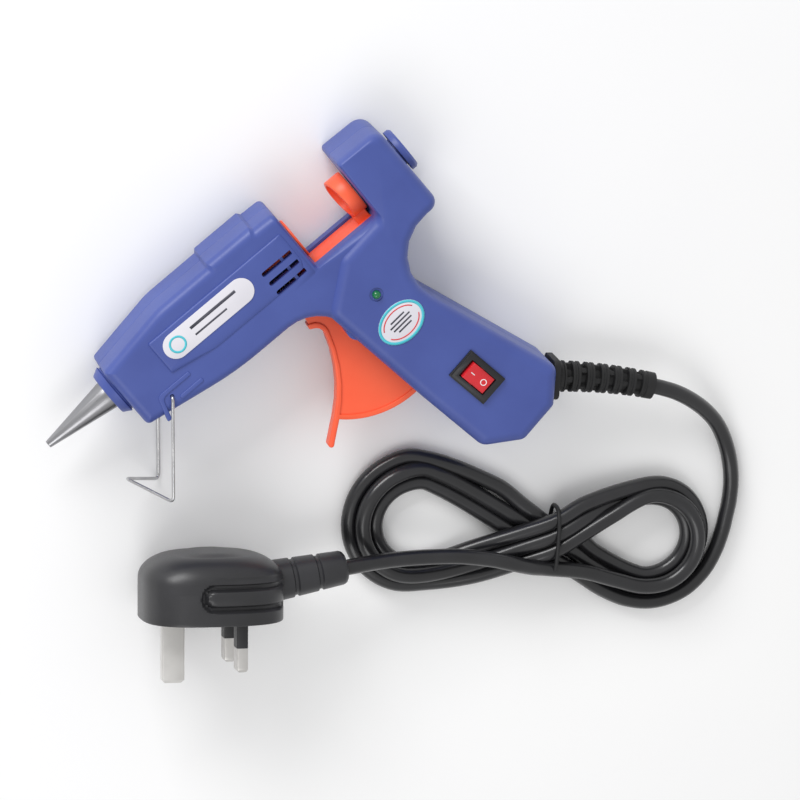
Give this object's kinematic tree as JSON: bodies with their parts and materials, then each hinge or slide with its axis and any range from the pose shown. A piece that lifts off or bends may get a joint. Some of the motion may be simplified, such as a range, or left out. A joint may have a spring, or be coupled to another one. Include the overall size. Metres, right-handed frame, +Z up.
{
  "type": "glue gun",
  "caption": "Pistol-grip hot-melt glue gun with a stick feed trigger, rocker switch, folding wire stand and a mains lead folded into a tied hank.",
  "frame": {"origin": "middle of the gun's own bounding box, at the floor that its right side lies on", "axes": "+X runs back along the barrel, from the nozzle to the stick inlet; +Y is the gun's own up, away from the butt; +Z is up from the floor, out of the gun's left side"},
  "size_m": [0.2133, 0.2248, 0.0441],
  "materials": {
    "blue_plastic": "moulded, fine satin texture",
    "orange_plastic": "moulded, satin",
    "nozzle_metal": "turned, satin",
    "chamber_metal": "die cast",
    "heater_element": "film-wrapped ceramic",
    "spring_steel": "spring steel",
    "steel_pins": "zinc plated",
    "stand_wire": "nickel plated wire",
    "red_silicone": "silicone, matt",
    "green_lens": "tinted lamp body",
    "circuit_board": "fibreglass board",
    "black_plastic": "moulded, satin",
    "red_rocker": "moulded, semi-gloss",
    "brass_terminals": "stamped",
    "label_print": "printed film",
    "black_rubber": "moulded, satin",
    "core_insulation": "wire insulation",
    "lead_sleeving": "silicone-coated glass sleeving",
    "cord_jacket": "PVC jacket, satin",
    "tie_rubber": "rubber band",
    "plug_plastic": "moulded, satin",
    "fuse_carrier_plastic": "moulded",
    "fuse_ceramic": "ceramic tube with metal caps",
    "plug_pin_metal": "plated brass, matt"
  },
  "bodies": {
    "gun": {"left_housing": "blue_plastic", "right_housing": "blue_plastic", "front_collar": "blue_plastic", "nozzle": "nozzle_metal", "melt_chamber": "chamber_metal", "ptc_heater": "heater_element", "heater_clip": "spring_steel", "chamber_rings": "red_silicone", "stick_sleeve": "red_silicone", "inlet_guide": "orange_plastic", "stick_bush": "blue_plastic", "pivot_pin": "steel_pins", "return_spring": "spring_steel", "led_lens": "green_lens", "led_board": "circuit_board", "switch_frame": "black_plastic", "switch_terminals": "brass_terminals", "side_label": "label_print", "rating_label": "label_print", "housing_screws": "steel_pins", "cord_clamp": "black_plastic", "clamp_screws": "steel_pins", "strain_relief": "black_rubber", "cord_cores": "core_insulation", "heater_leads": "lead_sleeving", "cord_lead": "cord_jacket", "cord_hank": "cord_jacket", "cord_tail": "cord_jacket", "cord_tie": "tie_rubber", "plug_body": "plug_plastic", "plug_base": "plug_plastic", "fuse_carrier": "fuse_carrier_plastic", "fuse": "fuse_ceramic", "earth_pin": "plug_pin_metal", "line_pins": "plug_pin_metal", "pin_sleeves": "black_plastic"},
    "trigger": {"trigger": "orange_plastic", "link_pin": "steel_pins"},
    "feed": {"feed_slide": "orange_plastic", "stick_clamp": "orange_plastic"},
    "rocker": {"rocker": "red_rocker"},
    "stand": {"stand": "stand_wire"}
  },
  "joints": [
    {"name": "trigger_pull", "type": "hinge", "parent": "gun", "child": "trigger", "pos_m": [0.0276, 0.00884, 0.015], "axis": [0, 0, 1], "range_deg": [0, 26], "stiffness_Nm_per_rad": 0.4, "springref_deg": -8.59, "deforming": ["return_spring"]},
    {"name": "stick_feed", "type": "slide", "parent": "gun", "child": "feed", "axis": [-1, 0, 0], "range_m": [0, 0.0094]},
    {"name": "switch_rock", "type": "hinge", "parent": "gun", "child": "rocker", "pos_m": [0.0488, -0.03196, 0.0291], "axis": [0.9863, 0.165, 0], "range_deg": [-18, 0]},
    {"name": "stand_fold", "type": "hinge", "parent": "gun", "child": "stand", "pos_m": [-0.0364, 0.03424, 0.015], "axis": [0, 0, 1], "range_deg": [0, 105]}
  ],
  "couplings": [
    {"joint": "stick_feed", "follows": "trigger_pull", "m_per_rad": 0.020325}
  ]
}
